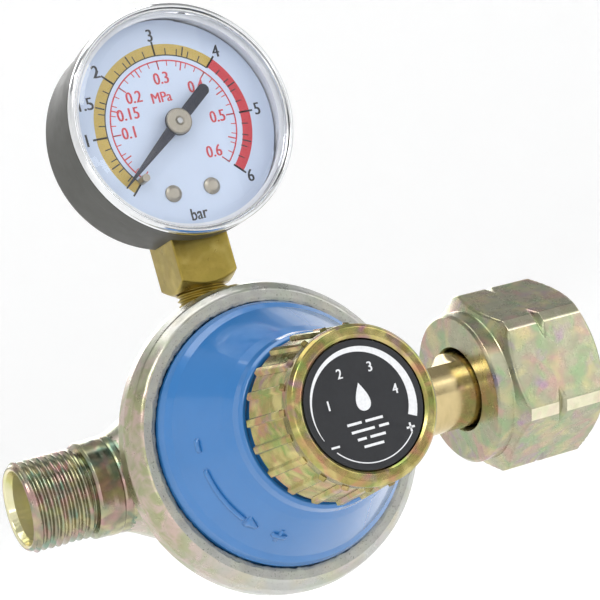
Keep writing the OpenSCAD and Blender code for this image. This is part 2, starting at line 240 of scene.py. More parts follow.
# closes rows of four points into one solid bar
def girder(mesh, rows):
    for a, b in zip(rows, rows[1:]):
        for k in range(4):
            mesh.faces.new((a[k], a[(k + 1) % 4], b[(k + 1) % 4], b[k]))
    mesh.faces.new(rows[0])
    mesh.faces.new(rows[-1][::-1])
    bmesh.ops.recalc_face_normals(mesh, faces=mesh.faces)
    return mesh


def roundedBlock(at, size, corner):
    block = bmesh.new()
    bmesh.ops.create_cube(block, size=1)
    block.transform(Matrix.Translation(at) @ Matrix.Diagonal((*size, 1)))
    bmesh.ops.bevel(block, geom=block.edges[:], offset=corner, segments=2, affect="EDGES")
    return block


def settle(thing, body, slotName, *nodes):
    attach(thing, body)
    if nodes:
        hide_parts(*nodes)


def between(value, low, high):
    t = min(1, max(0, (value - low) / (high - low)))
    return t * t * (3 - 2 * t)


# the lesser of two radii, with the corner between them a little rounded
def lesser(a, b, sharp, around):
    return around - math.log(math.exp(-sharp * (a - around)) + math.exp(-sharp * (b - around))) / sharp


# radius on a screw thread that fades in and out over part of a pitch
def thread(r, h, angle, start, end, pitch, depth, hand=-1, fade=0.7):
    if h < start or h > end:
        return r
    phase = (h / pitch + hand * angle / tau) % 1
    rise = min(1, abs(2 * phase - 1) * 1.12)
    strength = between(h, start, start + fade * pitch) * (1 - between(h, end - fade * pitch, end))
    return r - depth * rise * strength


# camera, light and floor

cameraSettings = {"at": (-0.22285, -0.35227, -0.00907), "azimuth": 25.92, "rise": 4.888, "roll": 15.89,
                  "lens": 123.1}


def makeCamera(s):
    a, e, roll = (math.radians(s[k]) for k in ("azimuth", "rise", "roll"))
    ahead = Vector((math.sin(a) * math.cos(e), math.cos(a) * math.cos(e), math.sin(e)))
    level = Vector((math.cos(a), -math.sin(a), 0))
    up = level.cross(ahead)
    right = level * math.cos(roll) - up * math.sin(roll)
    up = right.cross(ahead)
    data = bpy.data.cameras.new("camera")
    data.lens, data.sensor_width = s["lens"], 36
    data.clip_start, data.clip_end = 0.01, 20
    cam = bpy.data.objects.new("camera", data)
    turn = Matrix((right, up, -ahead)).transposed().to_4x4()
    cam.matrix_world = Matrix.Translation(s["at"]) @ turn
    bpy.context.scene.collection.objects.link(cam)
    bpy.context.scene.camera = cam


makeCamera(cameraSettings)

studio = {
    "floorZ": -0.085, "flatRadii": (0, 0.4, 0.9), "floorR": 1.25, "wallR": 1.9, "wallTop": 1.7, "bendTop": 0.45,
    "bendSteps": 16,
    "floorColour": (0.95, 0.95, 0.95), "paperGlow": 0.15,
    "sky": (0.98, 0.99, 1.0), "skyPower": 0.38,
    # name, where it stands, where it points, size, power, colour
    "lamps": (
        ("keyLamp", (-0.75, -0.85, 0.95), (knobX, 0, 0.01), (0.55, 0.55), 5.9, (1, 0.985, 0.96)),
        ("fillLamp", (0.85, -0.95, 0.30), (knobX, 0, 0.01), (0.7, 0.9), 2.6, (0.97, 0.985, 1)),
        ("topLamp", (-0.1, -0.1, 1.2), (knobX, 0, 0.0), (0.9, 0.6), 4.2, (1, 1, 1)),
        ("backLamp", (0.2, 1.2, 0.7), (knobX, 0, 0.0), (0.8, 0.6), 5, (1, 1, 1)),
        ("lowLamp", (-0.5, -0.9, -0.02), (knobX, 0, 0.0), (0.5, 0.1), 0.5, (1, 1, 1)),
    ),
    # dark boards that only show in reflections: centre, size, turn about Z, tilt
    "boards": (
        ((0.55, -1.15, 0.10), (0.16, 0.9), 25, 0),
        ((-0.25, -1.3, 0.75), (0.8, 0.10), -8, 35),
    ),
}


def makeStudio(s):
    bend = [(s["floorR"] + (s["wallR"] - s["floorR"]) * math.sin(t),
             s["wallTop"] * s["bendTop"] * (1 - math.cos(t)))
             for t in [math.pi / 2 * k / s["bendSteps"] for k in range(s["bendSteps"] + 1)]]
    path = [(r, 0) for r in s["flatRadii"]] + bend + [(s["wallR"], s["wallTop"])]
    bowl = spun(path, lambda r, a, h: Vector((knobX + r * math.cos(a), r * math.sin(a), s["floorZ"] + h)), 96)
    for f in bowl.faces:
        f.normal_flip()
    paper = Finish("floorPaper")
    grain = paper.clouds(12, 4)
    paper.done(Base_Color=paper.mix(grain, s["floorColour"], tuple(c * 0.985 for c in s["floorColour"])),
               Roughness=0.9, Specular_IOR_Level=0.1, Emission_Color=(1, 1, 1), Emission_Strength=s["paperGlow"])
    keep("floor", bowl, paper.mat)
    for name, at, target, size, power, colour in s["lamps"]:
        data = bpy.data.lights.new(name, "AREA")
        data.shape, data.energy, data.color = "RECTANGLE", power, colour
        data.size, data.size_y = size
        lamp = bpy.data.objects.new(name, data)
        lamp.location = at
        lamp.rotation_euler = (Vector(target) - Vector(at)).to_track_quat("-Z", "Y").to_euler()
        bpy.context.scene.collection.objects.link(lamp)
    black = Finish("boardBlack").done(Base_Color=(0.01, 0.01, 0.01), Roughness=1.0)
    for i, (at, size, turn, tilt) in enumerate(s["boards"]):
        board = bmesh.new()
        bmesh.ops.create_grid(board, x_segments=1, y_segments=1, size=0.5)
        board.transform(Matrix.Translation(at) @ Matrix.Rotation(math.radians(turn), 4, "Z")
                        @ Matrix.Rotation(math.radians(90 + tilt), 4, "X")
                        @ Matrix.Diagonal((size[0], size[1], 1, 1)))
        made = keep("board%d" % (i + 1), board, black)
        made.visible_camera = made.visible_diffuse = made.visible_shadow = made.visible_transmission = False
    world = bpy.data.worlds.new("sky")
    world.use_nodes = True
    sky = world.node_tree.nodes["Background"].inputs
    sky["Color"].default_value = (*s["sky"], 1)
    sky["Strength"].default_value = s["skyPower"]
    bpy.context.scene.world = world
    bpy.context.scene.view_settings.view_transform = "Standard"


makeStudio(studio)
print("studio ready")


# finishes

outletTint = {"from": 0.012, "to": 0.024, "strength": 0.75, "olive": (0.30, 0.31, 0.13), "rose": (0.50, 0.36, 0.30)}


def dimmed(colour, by):
    return tuple(min(1, c * by) for c in colour)


# tints are a colour and the cloud levels between which it comes in
# towardsOutlet adds the colours of the spigot's end
def metal(name, base, rough, tints=(), grain=0.1, wear=0.1, metallic=1.0, tintSize=3, tintMix=0.5, roughSpan=0.12,
          bumpSize=0.6, bumpDepth=0.02, stretch=(1, 1, 1), towardsOutlet=False):
    f = Finish(name)
    colour = f.mix(f.level(f.clouds(2.2, 4, 0.6), 0.35, 0.65), dimmed(base, 1 - grain),
                   dimmed(base, 1 + grain * 0.6))
    for i, (tint, low, high) in enumerate(tints):
        patch = f.clouds(tintSize, 1.5, 0.45, stretch, (0.013 * i, 0.021 * i, 0.007 * i), 0.6)
        colour = f.mix(f.level(patch, low - 0.05, high + 0.08) * tintMix, colour, tint)
    if towardsOutlet:
        near = f.level(f.axis(0) * -1, -knobX + outletTint["from"], -knobX + outletTint["to"])
        blot = f.level(f.clouds(3.2, 2, 0.5, (1, 1, 1), (0.4, 0.2, 0.1), 0.8), 0.42, 0.62)
        colour = f.mix(near * outletTint["strength"], colour, f.mix(blot, outletTint["olive"], outletTint["rose"]))
    if wear:
        speck = f.level(f.clouds(0.35, 2, 0.6), 0.60, 0.72) * wear
        colour = f.mix(speck, colour, dimmed(base, 0.35))
    smear = f.clouds(3.0, 3, 0.6, (1, 1, 1), (0.3, 0.1, 0.2))
    height = f.clouds(bumpSize, 3, 0.55)
    f.done(Base_Color=colour, Metallic=metallic, Normal=f.bump(height, 0.5, bumpDepth),
           Roughness=f.level(smear, 0.3, 0.7, rough - roughSpan / 2, rough + roughSpan / 2))
    return f.mat


zinc = metal("castZinc", (0.50, 0.505, 0.48), 0.30,
             (((0.40, 0.50, 0.31), 0.50, 0.62), ((0.55, 0.48, 0.30), 0.54, 0.66), ((0.56, 0.42, 0.44), 0.58, 0.68)),
             grain=0.06, wear=0.25, metallic=0.95, tintSize=6, tintMix=0.42, roughSpan=0.14, bumpSize=0.45,
             bumpDepth=0.03, towardsOutlet=True)
zincRough = metal("castZincRim", (0.36, 0.36, 0.335), 0.46,
                  (((0.38, 0.42, 0.32), 0.50, 0.62), ((0.46, 0.41, 0.33), 0.56, 0.66)), wear=0.9, metallic=0.85,
                  tintSize=4, tintMix=0.4, roughSpan=0.2, bumpSize=0.22, bumpDepth=0.16)
boreZinc = metal("boreZinc", (0.74, 0.70, 0.46), 0.14,
                 (((0.62, 0.66, 0.24), 0.50, 0.62), ((0.86, 0.60, 0.36), 0.56, 0.66)), grain=0.05, metallic=0.7,
                 tintSize=5, roughSpan=0.1, bumpSize=0.5)
threadZinc = metal("threadZinc", (0.29, 0.275, 0.19), 0.24,
                   (((0.14, 0.28, 0.21), 0.50, 0.60), ((0.48, 0.27, 0.27), 0.54, 0.62),
                    ((0.50, 0.48, 0.26), 0.54, 0.62)), grain=0.20, wear=0.2, tintSize=3.5, tintMix=0.7,
                    bumpSize=0.4)
chromate = metal("yellowChromate", (0.36, 0.30, 0.10), 0.24,
                 (((0.22, 0.33, 0.09), 0.49, 0.58), ((0.55, 0.24, 0.17), 0.55, 0.62),
                  ((0.62, 0.53, 0.22), 0.54, 0.62), ((0.36, 0.18, 0.28), 0.64, 0.70)), grain=0.14, wear=0.15,
                  tintSize=3.2, tintMix=0.75, bumpSize=0.5)
nutFinish = metal("nutPlating", (0.38, 0.37, 0.26), 0.28,
                  (((0.27, 0.40, 0.21), 0.49, 0.60), ((0.52, 0.30, 0.28), 0.54, 0.63),
                   ((0.56, 0.50, 0.26), 0.54, 0.63), ((0.38, 0.25, 0.36), 0.64, 0.70)), wear=0.2, tintSize=4.5,
                   tintMix=0.7)
# painted highlight: a lighter copy of the nut plating, standing for light caught on the hex corners
nutCornerHighlight = metal("nutCornerHighlight", (0.74, 0.70, 0.52), 0.20,
                (((0.56, 0.60, 0.34), 0.50, 0.62), ((0.70, 0.52, 0.44), 0.54, 0.63)), grain=0.06, roughSpan=0.1)
socketBrass = metal("socketBrass", (0.34, 0.255, 0.06), 0.34,
                    (((0.30, 0.24, 0.05), 0.48, 0.60), ((0.52, 0.41, 0.13), 0.54, 0.66)), grain=0.12, wear=0.3,
                    tintSize=4, tintMix=0.6, roughSpan=0.14, bumpSize=0.7, bumpDepth=0.03)
nippleBrass = metal("nippleBrass", (0.60, 0.48, 0.25), 0.18, (((0.50, 0.39, 0.19), 0.5, 0.65),), grain=0.06, wear=0,
                    tintSize=5, roughSpan=0.08, bumpSize=1.2, bumpDepth=0.006, stretch=(6, 1, 1))
turnedBrass = metal("turnedBrass", (0.66, 0.50, 0.22), 0.26, (((0.56, 0.42, 0.16), 0.5, 0.65),), grain=0.06, wear=0,
                    tintSize=4, roughSpan=0.08, bumpSize=1, bumpDepth=0.006)
smallPart = {"grain": 0.08, "roughSpan": 0.1, "bumpDepth": 0.01}
steel = metal("plainSteel", (0.50, 0.50, 0.49), 0.30, (((0.42, 0.42, 0.42), 0.5, 0.65),), **smallPart)
platedSteel = metal("platedSteel", (0.60, 0.58, 0.48), 0.30, (((0.56, 0.50, 0.36), 0.5, 0.65),), **smallPart)
copper = metal("softCopper", (0.62, 0.30, 0.17), 0.36, (((0.50, 0.24, 0.14), 0.5, 0.65),), **smallPart)
bezelMetal = metal("bezelMetal", (0.72, 0.73, 0.74), 0.10, grain=0.04, wear=0, roughSpan=0.05, bumpSize=1.5,
                   bumpDepth=0.003)
rivetMetal = metal("rivetMetal", (0.42, 0.38, 0.31), 0.46, (((0.40, 0.36, 0.28), 0.5, 0.65),), wear=0.2,
                   tintSize=1.5, roughSpan=0.1, bumpSize=0.3, bumpDepth=0.01)


def plain(name, base, rough, grain, grainSize, bumpSize, bumpDepth, coat=0.0, roughSpan=0.1):
    f = Finish(name)
    tone = f.level(f.clouds(grainSize, 4, 0.6), 0.3, 0.7)
    f.done(Base_Color=f.mix(tone, dimmed(base, 1 - grain), dimmed(base, 1 + grain)),
           Roughness=f.level(f.clouds(2.5, 3), 0.3, 0.7, rough - roughSpan / 2, rough + roughSpan / 2),
           Coat_Weight=coat, Coat_Roughness=0.06, Normal=f.bump(f.clouds(bumpSize, 3), 0.4, bumpDepth))
    return f.mat


# colour, roughness, grain and its size, bump size and depth
bluePaint = plain("bonnetPaint", (0.024, 0.160, 0.43), 0.24, 0.03, 6, 2.2, 0.006, coat=0.7, roughSpan=0.05)
caseGrey = plain("casePaint", (0.042, 0.042, 0.035), 0.50, 0.08, 5, 0.25, 0.012, roughSpan=0.08)
blackPrint = plain("labelBlack", (0.008, 0.009, 0.012), 0.34, 0.2, 1, 0.3, 0.004)
whitePrint = plain("labelMarks", (0.72, 0.73, 0.75), 0.40, 0.08, 0.5, 0.2, 0.006)
rubber = plain("blackRubber", (0.018, 0.018, 0.018), 0.62, 0.25, 1.2, 0.3, 0.02)
pointerPaint = plain("pointerPaint", (0.012, 0.016, 0.034), 0.36, 0.1, 1, 0.3, 0.004)
dialPaint = plain("dialPaint", (0.62, 0.71, 0.86), 0.45, 0.01, 8, 0.5, 0.003)
palePaint = plain("palePaint", (0.86, 0.88, 0.92), 0.4, 0.03, 2, 0.5, 0.003)
dialBlack = plain("dialBlack", (0.02, 0.022, 0.03), 0.5, 0.1, 0.5, 0.2, 0.002)
dialRed = plain("dialRed", (0.62, 0.045, 0.06), 0.5, 0.06, 0.6, 0.2, 0.002)
dialYellow = plain("dialYellow", (0.56, 0.40, 0.085), 0.5, 0.05, 0.8, 0.2, 0.002)

windowGlass = Finish("windowGlass")
windowGlass.done(Base_Color=(0.97, 0.98, 1.0), IOR=1.05, Transmission_Weight=1.0, Coat_Weight=0.7,
                 Coat_Roughness=0.02, Roughness=windowGlass.level(windowGlass.clouds(6, 3), 0.4, 0.7, 0.0, 0.02))
print("finishes ready")


# body

bodySizes = {
    "outletR": 8.331, "outletBore": 6.8, "outletEnd": -40.3, "threadLength": 11.1, "threadPitch": 1.337,
    "threadDepth": 0.84,
    "rimR": 27.5, "voxel": 0.57, "smoothing": 8, "spigotFrom": -21.5, "spigotR": 9.3,
    # stumps of the two lugs that carry the lever pin: place from the knob axis and size
    "lugs": ((-7, -1.6, -5.4), (-7, -1.6, 5.4)), "lugSize": (4.8, 14.8, 2.6), "lugCorner": 0.3,
    # ragged lip: how far it wanders, and the size of its waves
    "lipWaves": ((0.22, 1.1), (0.2, 2.6)), "swell": (0.10, 0.6),
}


def makeBody(s):
    # cast core, with every corner run together
    bowl = [(0, -8.9), (9.4, -8.9), (10.6, -7.8), (11.4, -4), (14.3, 1), (17.6, 6), (21.0, 12), (24.3, 17.6),
            (25.8, 20.4), (0, 20.4)]
    outlet = [(0, -24.5), (8.6, -24.5), (8.8, -22.5), (9.7, -20), (12.2, -15.5), (13, -10), (12, -4), (0, -1)]
    inlet = [(0, 0), (11, 2), (12.8, 8), (12.6, 14), (11, 18), (10.1, 21.5), (10.1, 32.8), (9.6, 33.3), (0, 33.3)]
    stem = [(0, 10), (9.4, 12), (8.2, 19), (6.7, 25), (6.35, 25.9), (0, 25.9)]
    pad = [(0, -10.8), (6.2, -10.8), (6.4, -10.5), (6.4, -7), (0, -7)]
    core = join([spun(bowl, onKnobAxis, 96), spun(outlet, onPipeAxis, 72), spun(inlet, onPipeAxis, 72),
                 spun(stem, onSocketAxis, 72), spun(pad, onKnobAxis, 72)])
    body = keep("bodyCasting", core, zinc, zincRough, threadZinc)
    remesh = body.modifiers.new("remesh", "REMESH")
    remesh.mode, remesh.voxel_size = "VOXEL", s["voxel"] * mm
    smooth = body.modifiers.new("smooth", "SMOOTH")
    smooth.factor, smooth.iterations = 0.6, s["smoothing"]
    baked(body)
    # hollow it out: chamber, gas ways and threaded holes
    chamber = spun([(0, -5.5), (8.5, -5.5), (8.5, 2), (13, 7), (18, 14.5), (19.8, 17.5), (19.8, 30), (0, 30)],
                   onKnobAxis, 96)
    ways = [spun([(0, -30), (4, -30), (4, -6), (0, -6)], onPipeAxis, 48),
            spun([(0, 6), (5.05, 6), (5.05, 22), (6.6, 22), (6.6, 36), (0, 36)], onPipeAxis, 64),
            spun([(0, 19.5), (4.9, 19.5), (4.9, 29), (0, 29)], onSocketAxis, 64),
            spun([(0, 8), (2, 8), (2, 20), (0, 20)], onSocketAxis, 32)]
    for tool in [chamber] + ways:
        knife = keep("knife", tool)
        cut = body.modifiers.new("cut", "BOOLEAN")
        cut.operation, cut.solver, cut.object = "DIFFERENCE", "EXACT", knife
        baked(body)
        bpy.data.objects.remove(knife)
    # rolled rim with its ragged crimped lip
    rim = finer(soften([(19.8, 19.2), (26.35, 19.2, 0.3), (26.6, 20.9, 0.2), (27.0, 21.25, 0.25),
                        (s["rimR"], 22.3, 0.8), (s["rimR"], 25.0, 1.2), (26.9, 27.4, 1.2), (25.6, 28.9, 1.3),
                        (23.9, 29.15, 0.4), (23.25, 29.0, 0.25), (23.2, 27.62, 0.1), (24.68, 27.6, 0.1),
                        (24.68, 21.02, 0.1), (19.8, 21.0, 0.1)], True), 0.7)

    def ragged(angle, r, h):
        p = onKnobAxis(r, angle, h) * 1000
        edge = between(h, 28.2, 28.9) * (1 - between(r, 23.9, 24.8))
        r += edge * sum(far * noise.noise(p * often) for far, often in s["lipWaves"])
        far, often = s["swell"]
        return r, h + between(h, 27.0, 28.4) * far * noise.noise(p * often)

    rimMesh = spun(rim, onKnobAxis, 224, ragged, True)
    # outlet spigot: threaded outside, coned and bored inside
    end, tip = s["outletEnd"], s["outletEnd"] + s["threadLength"]
    bore, outside = s["outletBore"], s["outletR"]
    spigot = finer(soften([(4.02, -24.2, 0.1), (4.02, -27.3, 0.3), (bore - 0.5, -30.8, 0.4),
                           (bore - 0.35, end + 1.6, 0.3), (bore, end + 0.3, 0.3), (outside - 0.95, end, 0.25),
                           (outside, end + 0.9, 0.1), (outside, tip, 0.1)]), 0.2)
    tail = finer(soften([(outside - 0.5, tip + 0.1), (7.3, tip + 0.35, 0.15), (7.25, tip + 1.0, 0.15),
                         (8.4, tip + 1.2, 0.2), (8.85, tip + 1.6, 0.3), (8.9, -25.4, 0.4), (9.0, -24.6, 0.25),
                         (9.0, -23.5, 0.2), (8.8, -23.2, 0.15), (8.95, -22.8, 0.15), (9.1, -21.9, 0.3),
                         (8.4, -21.2, 0.1), (4.02, -21.2)]), 0.5)

    def cutThread(angle, r, h):
        if r >= outside - 0.7 and end + 0.2 < h < tip + 0.3:
            return thread(r, h, angle, end + 0.25, tip + 0.2, s["threadPitch"], s["threadDepth"]), h
        return r, h

    spigotMesh = spun(spigot + tail, onPipeAxis, 128, cutThread, True)
    for x, y, z in s["lugs"]:
        lug = roundedBlock((knobX + x * mm, y * mm, z * mm), [side * mm for side in s["lugSize"]],
                           s["lugCorner"] * mm)
        spigotMesh = join([spigotMesh, lug])
    coreMesh = bmesh.new()
    coreMesh.from_mesh(body.data)
    bpy.data.objects.remove(body)

    def zone(c):
        x, f, z = (c.x - knobX) * 1000, -c.y * 1000, c.z * 1000
        fromPipe, fromKnob = math.hypot(f, z), math.hypot(x, z)
        if x < s["spigotFrom"] and fromPipe < s["spigotR"]:
            return 3 if fromPipe < bore + 0.45 else 2
        return 1 if f > 27.3 and 22 < fromKnob < 25.3 else 0

    body = keep("bodyCasting", join([coreMesh, rimMesh, spigotMesh]), zinc, zincRough, threadZinc, boreZinc,
                pick=zone)
    settle(body, "regulator", "zinc_body", "body_casting")


makeBody(bodySizes)
print("body ready")


# bonnet

bonnetSizes = {
    "markHigh": 0.5, "markFoot": 0.15,
    # low and high edge up the cone, start and end angle in degrees, taper: a minus, a long arrow, a plus
    "marks": ((4.2, 5.2, 172, 180, 0), (4.2, 5.2, 188, 221, 0), (2.9, 6.5, 221, 229, 1.75), (4.2, 5.2, 236, 245, 0),
              (2.9, 6.5, 239.2, 241.8, 0)),
}


def makeBonnet(s):
    outer = [(3.96, 42.25), (3.96, 45.3, 0.2), (13.4, 45.35, 0.3), (13.75, 46.05, 0.3), (14.3, 46.15, 0.3),
             (14.85, 45.6, 0.45), (15.25, 44.1, 0.6), (16.4, 42.2, 1.4), (19.2, 36.9), (21.5, 32.5, 0.9),
             (22.5, 31.3, 0.5), (23.05, 29.9, 0.25), (23.05, 27.42, 0.1), (24.25, 27.38, 0.1), (24.25, 22.15, 0.1),
             (21.4, 22.12, 0.1), (21.4, 29.4, 0.5), (20, 31.6, 0.5), (14.4, 42.2, 0.4)]
    # ends of the cone, as radius and distance in front
    foot, head = Vector((21.3, 33.0)), Vector((16.5, 42.0))
    slope = (head - foot).normalized()
    out = Vector((slope.y, -slope.x))

    # a pad standing on the cone between two angles and two distances up the slope
    def raised(low, high, start, end, taper):
        pad, rows, steps = bmesh.new(), [], max(2, int((end - start) / 1.5))
        rise = ((0.0, -s["markFoot"]), (0.12, s["markHigh"]), (0.88, s["markHigh"]), (1.0, -s["markFoot"]))
        for k in range(steps + 1):
            share = k / steps
            lo, hi = low + taper * share, high - taper * share
            row = []
            for across, up in rise:
                # both ends run down into the cone
                up = min(up, -0.1) if k in (0, steps) else up
                spot = foot + slope * (lo + (hi - lo) * across) + out * up
                row.append(pad.verts.new(onKnobAxis(spot.x, math.radians(start + (end - start) * share), spot.y)))
            rows.append(row)
        return girder(pad, rows)

    cone = spun(finer(soften(outer, True), 1.2), onKnobAxis, 160, None, True)
    bonnet = keep("bonnet", join([cone] + [raised(*mark) for mark in s["marks"]]), bluePaint)
    settle(bonnet, "regulator", "bonnet_paint", "bonnet")


makeBonnet(bonnetSizes)


# knob

knobSizes = {"ribs": 20, "back": 47.9, "front": 62.55, "proud": 0.6, "pointsPerRib": 24}


def makeKnob(s):
    back, front = s["back"], s["front"]
    path = [(0, 58.7), (3.9, 58.7), (12.15, 58.7, 0.4), (12.2, back + 0.15, 0.2), (12.5, back, 0.15),
            (13.85, back + 0.02, 0.25), (14.05, back + 0.4, 0.2), (12.72, front - 3.35, 0.12),
            (13.1, front - 3.1, 0.15), (13.15, front - 0.75, 0.5), (12.55, front, 0.5), (11.15, front, 0.35),
            (10.72, front - 0.4, 0.15), (10.6, front - 1.2, 0.1), (0, front - 1.24)]
    fine = finer(soften(path), lambda a, b: 0.4 if min(a[0], b[0]) > 12.7 else 1.5)

    def ribbed(angle, r, h):
        if r < 12.65 or h > front - 3.0:
            return r, h
        turn = (angle / tau * s["ribs"]) % 1
        across = abs(turn - 0.5) * 2                    # 0 in the middle of a rib, 1 in the middle of a pocket
        rib = 1 - between(across, 0.24, 0.32)
        height = between(h, back + 0.1, back + 0.45)
        return r + rib * s["proud"] * height, h

    mesh = spun(fine, onKnobAxis, s["ribs"] * s["pointsPerRib"], ribbed)
    hub = spun(soften([(3.98, 58.75), (3.98, 49.6, 0.2), (5.5, 49.5, 0.3), (5.6, 58.75)], True), onKnobAxis, 48,
               None, True)
    settle(keep("knob", join([mesh, hub]), chromate), "knob_set", "chromated_metal", "knob")


makeKnob(knobSizes)
print("bonnet and knob ready")


# inlet

nutSizes = {"flats": 32, "cornerR": 17.85, "face": 52.1, "hexStart": 56.4, "end": 75.99, "collarR": 14.86,
            "boreR": 9.75, "pitch": 1.814, "threadDepth": 1.05, "crisp": 24, "bandHigh": 0.07}


def makeNut(s):
    face, hexStart, end = s["face"], s["hexStart"], s["end"]
    corner, collar, bore = s["cornerR"], s["collarR"], s["boreR"]
    mid = (hexStart + end) / 2 - 1.5
    threadFrom, threadTo = 64.8, end - 0.6
    outer = [(8.0, face + 0.9, 0.2), (8.5, face + 0.05, 0.2), (14.3, face, 0.4), (collar, face + 0.55, 0.3),
             (collar, hexStart - 0.9, 0.25), (15.0, hexStart - 0.7, 0.2), (corner, hexStart + 1.0, 0.2),
             (corner, mid - 0.95, 0.1), (16.75, mid, 0.1), (corner, mid + 0.95, 0.1), (corner, end - 1.9, 0.2),
             (15.2, end, 0.4), (10.25, end, 0.15), (bore, end - 0.5, 0.1)]
    inner = [(bore, end - 0.6), (bore, 64.7, 0.1), (bore + 0.35, 64.35, 0.1), (bore + 0.35, 57.1, 0.2),
             (bore, 56.88, 0.1), (8.0, 56.86, 0.1)]
    path = finer(soften(outer), 0.55) + finer(soften(inner), 0.28)[1:]

    def hexed(angle, r, h):
        if r > 14.9 and h > hexStart - 1.0:
            turn = ((angle + math.pi / 6) % (math.pi / 3)) - math.pi / 6      # 0 at a corner
            flat = s["flats"] / 2 / math.cos(math.pi / 6 - abs(turn))
            r = lesser(flat, r, s["crisp"], s["flats"] / 2)
        elif r <= bore + 0.01 and threadFrom < h < threadTo:
            r = 2 * bore - thread(bore, h, angle, threadFrom, threadTo, s["pitch"], s["threadDepth"])
        return r, h

    mesh = spun(path, onPipeAxis, 360, hexed, True)

    # painted highlight: the turned lands at the hex corners take the lighter copy of the plating
    def cornerHighlight(c):
        return 1 if math.hypot(c.y, c.z) > (corner - s["bandHigh"]) * mm else 0

    settle(keep("inletNut", mesh, nutFinish, nutCornerHighlight, pick=cornerHighlight), "nut_set", "nut_plating", "inlet_nut")


makeNut(nutSizes)

nippleSizes = {"neckR": 7.5, "flatAt": 5.3, "flatFrom": 36.0, "flatTo": 50.2, "flatEnd": 0.12, "neckSteps": 60}


def makeNipple(s):
    neck = s["neckR"]
    path = soften([(3.0, 22, 0.1), (6.1, 22, 0.2), (6.55, 22.6, 0.2), (6.55, 34.15, 0.1), (neck - 0.3, 34.16, 0.2),
                   (neck, 34.6, 0.2), (neck, 56.7, 0.2), (7.7, 56.98, 0.1), (9.1, 57.0, 0.25), (9.4, 57.4, 0.2),
                   (9.4, 60.2, 0.3), (8.6, 63, 0.2), (4.0, 63, 0.1), (4.0, 48, 0.2), (3.0, 46.5, 0.2)], True)
    fine = []
    for a, b in zip(path, path[1:] + path[:1]):
        steps = s["neckSteps"] if a[1] > 34.3 and b[1] > a[1] + 5 and a[0] > 7 else 1
        fine += [(a[0] + (b[0] - a[0]) * k / steps, a[1] + (b[1] - a[1]) * k / steps) for k in range(steps)]

    def milled(angle, r, h):
        up = math.cos(angle)
        if r > 7 and up > 0.3:
            start, stop, soft = s["flatFrom"], s["flatTo"], s["flatEnd"]
            cut = between(h, start - soft, start + soft) * (1 - between(h, stop - soft, stop + soft))
            r += (min(r, s["flatAt"] / up) - r) * cut
        return r, h

    mesh = spun(fine, onPipeAxis, 192, milled, True)
    settle(keep("inletNipple", mesh, nippleBrass), "regulator", "nipple_brass", "inlet_nipple")


makeNipple(nippleSizes)
print("inlet ready")


# gauge

socketSizes = {"side": 11.0, "bottom": 29.4, "top": 40.0, "stemFrom": 20.2, "threadR": 4.864, "threadPitch": 0.907,
               "threadDepth": 0.58, "crisp": 9, "around": 6, "tongueAt": (0, -12, 41.6), "tongue": (8.3, 5.5, 5.6)}


def makeSocket(s):
    half, bottom, foot, wide = s["side"] / 2, s["bottom"], s["stemFrom"], s["threadR"]
    block = finer(soften([(0, bottom - 0.05), (half - 0.3, bottom, 0.15), (half * 1.43, bottom + 1.7, 0.2),
                          (half * 1.43, s["top"], 0.2), (0, s["top"])]), 0.5)

    def squared(angle, r, h):
        turn = (angle % (math.pi / 2)) - math.pi / 4
        flat = half / math.cos(math.pi / 4 - abs(turn))
        if r > half - 0.4:
            r = min(flat, lesser(flat, r, s["crisp"], s["around"]))
        return r, h

    square = spun(block, onSocketAxis, 256, squared)
    stemPath = finer([(0, foot), (wide - 0.5, foot), (wide, foot + 0.6), (wide, bottom + 0.3), (0, bottom + 0.3)],
                     0.12)
    stemPath = [p for p in stemPath if not (p[1] in (foot, bottom + 0.3) and 0 < p[0] < wide - 0.7)]

    def cutThread(angle, r, h):
        if r > wide - 0.1:
            return thread(r, h, angle, foot + 0.4, bottom + 0.6, s["threadPitch"], s["threadDepth"], 1), h
        return r, h

    stem = spun(stemPath, onSocketAxis, 96, cutThread)
    x, y, z = s["tongueAt"]
    tongue = roundedBlock((knobX + x * mm, y * mm, z * mm), [side * mm for side in s["tongue"]], 0.25 * mm)
    settle(keep("gaugeSocket", join([square, stem, tongue]), socketBrass), "regulator", "socket_brass",
           "gauge_socket")


makeSocket(socketSizes)

gaugeSizes = {"caseR": 20.55, "bezelR": 21.2, "back": 6.7, "wall": 0.75}


